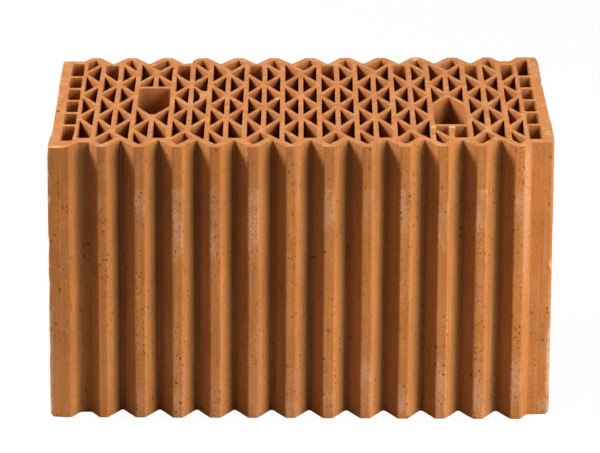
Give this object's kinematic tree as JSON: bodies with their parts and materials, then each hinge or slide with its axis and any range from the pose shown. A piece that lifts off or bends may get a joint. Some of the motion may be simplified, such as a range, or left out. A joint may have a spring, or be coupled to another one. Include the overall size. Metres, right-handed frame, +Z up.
{
  "type": "hollow clay block",
  "caption": "Large fired-clay masonry block with upright triangular cells, end slots, two grip holes and toothed faces that interlock without mortar.",
  "frame": {"origin": "centre of the bottom bed face", "axes": "+Z up along the cells, +X along the length from end face to end face, the front toothed face looks to -Y"},
  "size_m": [0.38, 0.261, 0.215],
  "materials": {
    "fired_clay": "unglazed, wire-cut and die-smoothed"
  },
  "bodies": {
    "root": {"clay_block": "fired_clay"}
  },
  "joints": []
}
